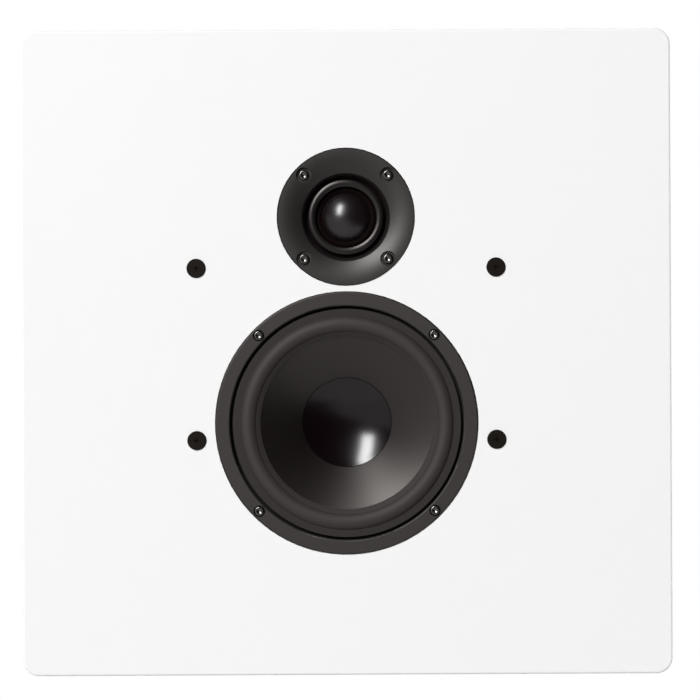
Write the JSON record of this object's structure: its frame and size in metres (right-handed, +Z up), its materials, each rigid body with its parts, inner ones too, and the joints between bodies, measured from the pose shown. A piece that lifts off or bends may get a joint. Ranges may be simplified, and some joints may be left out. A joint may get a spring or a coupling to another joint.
{
  "type": "wall speaker",
  "caption": "Shallow square wall loudspeaker with a white cabinet, a cone woofer under a dome tweeter, corner discs for a cloth front, keyhole hangers and a recessed terminal cup.",
  "frame": {"origin": "centre of the back face, on the wall plane", "axes": "+Y towards the wall, so the drivers face -Y; +Z up; +X to the right seen from the front"},
  "size_m": [0.44, 0.0964, 0.437],
  "materials": {
    "white_lacquer": "satin white lacquer on fibreboard",
    "back_board": "matt black paint on fibreboard",
    "raw_wood": "plain beech",
    "wadding": "polyester fleece",
    "frame_coat": "black powder coat on cast aluminium",
    "foam": "closed-cell foam",
    "surround_rubber": "butyl rubber",
    "cone": "black moulded polymer",
    "cap": "gloss black",
    "former": "amber film",
    "copper": "enamelled copper wire",
    "spider_cloth": "resin-treated cotton",
    "motor_steel": "zinc-plated steel",
    "ferrite": "ground ferrite",
    "insulator": "phenolic board",
    "tinned": "tinned brass",
    "black_screw": "blackened steel",
    "disc_steel": "steel with a smooth black coat",
    "faceplate": "satin black",
    "clamp_ring": "semi-gloss black",
    "dome": "coated black silk",
    "black_plastic": "matt black",
    "gold": "gold-plated brass",
    "red_plastic": "red",
    "knob_black": "black",
    "zinc": "bright zinc plate",
    "board_green": "green solder mask",
    "nylon": "natural nylon",
    "capacitor": "blue film",
    "resistor": "white cement",
    "lead_sleeve": "black PVC"
  },
  "bodies": {
    "cabinet": {"front_baffle": "white_lacquer", "top_wall": "white_lacquer", "bottom_wall": "white_lacquer", "left_wall": "white_lacquer", "right_wall": "white_lacquer", "back_panel": "back_board", "brace_posts": "raw_wood", "wadding": "wadding", "woofer_basket": "frame_coat", "woofer_gasket": "foam", "woofer_surround": "surround_rubber", "woofer_spider": "spider_cloth", "woofer_top_plate": "motor_steel", "woofer_magnet": "ferrite", "woofer_yoke": "motor_steel", "woofer_terminal_board": "insulator", "woofer_tabs": "tinned", "woofer_tinsel_leads": "copper", "woofer_screws": "black_screw", "tweeter_faceplate": "faceplate", "tweeter_gasket": "foam", "tweeter_clamp_ring": "clamp_ring", "tweeter_top_plate": "motor_steel", "tweeter_magnet": "ferrite", "tweeter_yoke": "motor_steel", "tweeter_rear_chamber": "black_plastic", "tweeter_terminal_board": "insulator", "tweeter_tabs": "tinned", "tweeter_screws": "black_screw", "grille_discs": "disc_steel", "grille_disc_screws": "disc_steel", "terminal_cup": "black_plastic", "terminal_screws": "black_screw", "red_post": "gold", "black_post": "gold", "post_nuts": "zinc", "post_tags": "tinned", "hanger_plates": "zinc", "hanger_screws": "black_screw", "crossover_board": "board_green", "crossover_standoffs": "nylon", "crossover_screws": "zinc", "bass_coil_bobbin": "black_plastic", "bass_coil_winding": "copper", "treble_coil": "copper", "film_capacitors": "capacitor", "power_resistor": "resistor", "wiring_harness": "lead_sleeve"},
    "woofer_diaphragm": {"woofer_cone": "cone", "woofer_dust_cap": "cap", "woofer_former": "former", "woofer_voice_coil": "copper"},
    "tweeter_diaphragm": {"tweeter_dome": "dome", "tweeter_former": "former", "tweeter_voice_coil": "copper"},
    "red_post_washer": {"red_washer": "gold"},
    "red_post_knob": {"red_knob": "red_plastic"},
    "black_post_washer": {"black_washer": "gold"},
    "black_post_knob": {"black_knob": "knob_black"}
  },
  "joints": [
    {"name": "woofer_excursion", "type": "slide", "parent": "cabinet", "child": "woofer_diaphragm", "axis": [0, -1, 0], "range_m": [-0.005, 0.005], "stiffness_N_per_m": 1000, "deforming": ["woofer_surround", "woofer_spider", "woofer_tinsel_leads"]},
    {"name": "tweeter_excursion", "type": "slide", "parent": "cabinet", "child": "tweeter_diaphragm", "axis": [0, -1, 0], "range_m": [-0.0003, 0.0003], "stiffness_N_per_m": 8000, "deforming": ["tweeter_dome"]},
    {"name": "red_knob_lift", "type": "slide", "parent": "cabinet", "child": "red_post_washer", "axis": [0, 1, 0], "range_m": [0, 0.0032]},
    {"name": "red_knob_turn", "type": "hinge", "parent": "red_post_washer", "child": "red_post_knob", "pos_m": [-0.00953, -0.016, -0.1705], "axis": [0, 1, 0], "range_deg": [0, 1440]},
    {"name": "black_knob_lift", "type": "slide", "parent": "cabinet", "child": "black_post_washer", "axis": [0, 1, 0], "range_m": [0, 0.0032]},
    {"name": "black_knob_turn", "type": "hinge", "parent": "black_post_washer", "child": "black_post_knob", "pos_m": [0.00953, -0.016, -0.1705], "axis": [0, 1, 0], "range_deg": [0, 1440]}
  ],
  "couplings": [
    {"joint": "red_knob_lift", "follows": "red_knob_turn", "m_per_rad": 0.00012732},
    {"joint": "black_knob_lift", "follows": "black_knob_turn", "m_per_rad": 0.00012732}
  ]
}
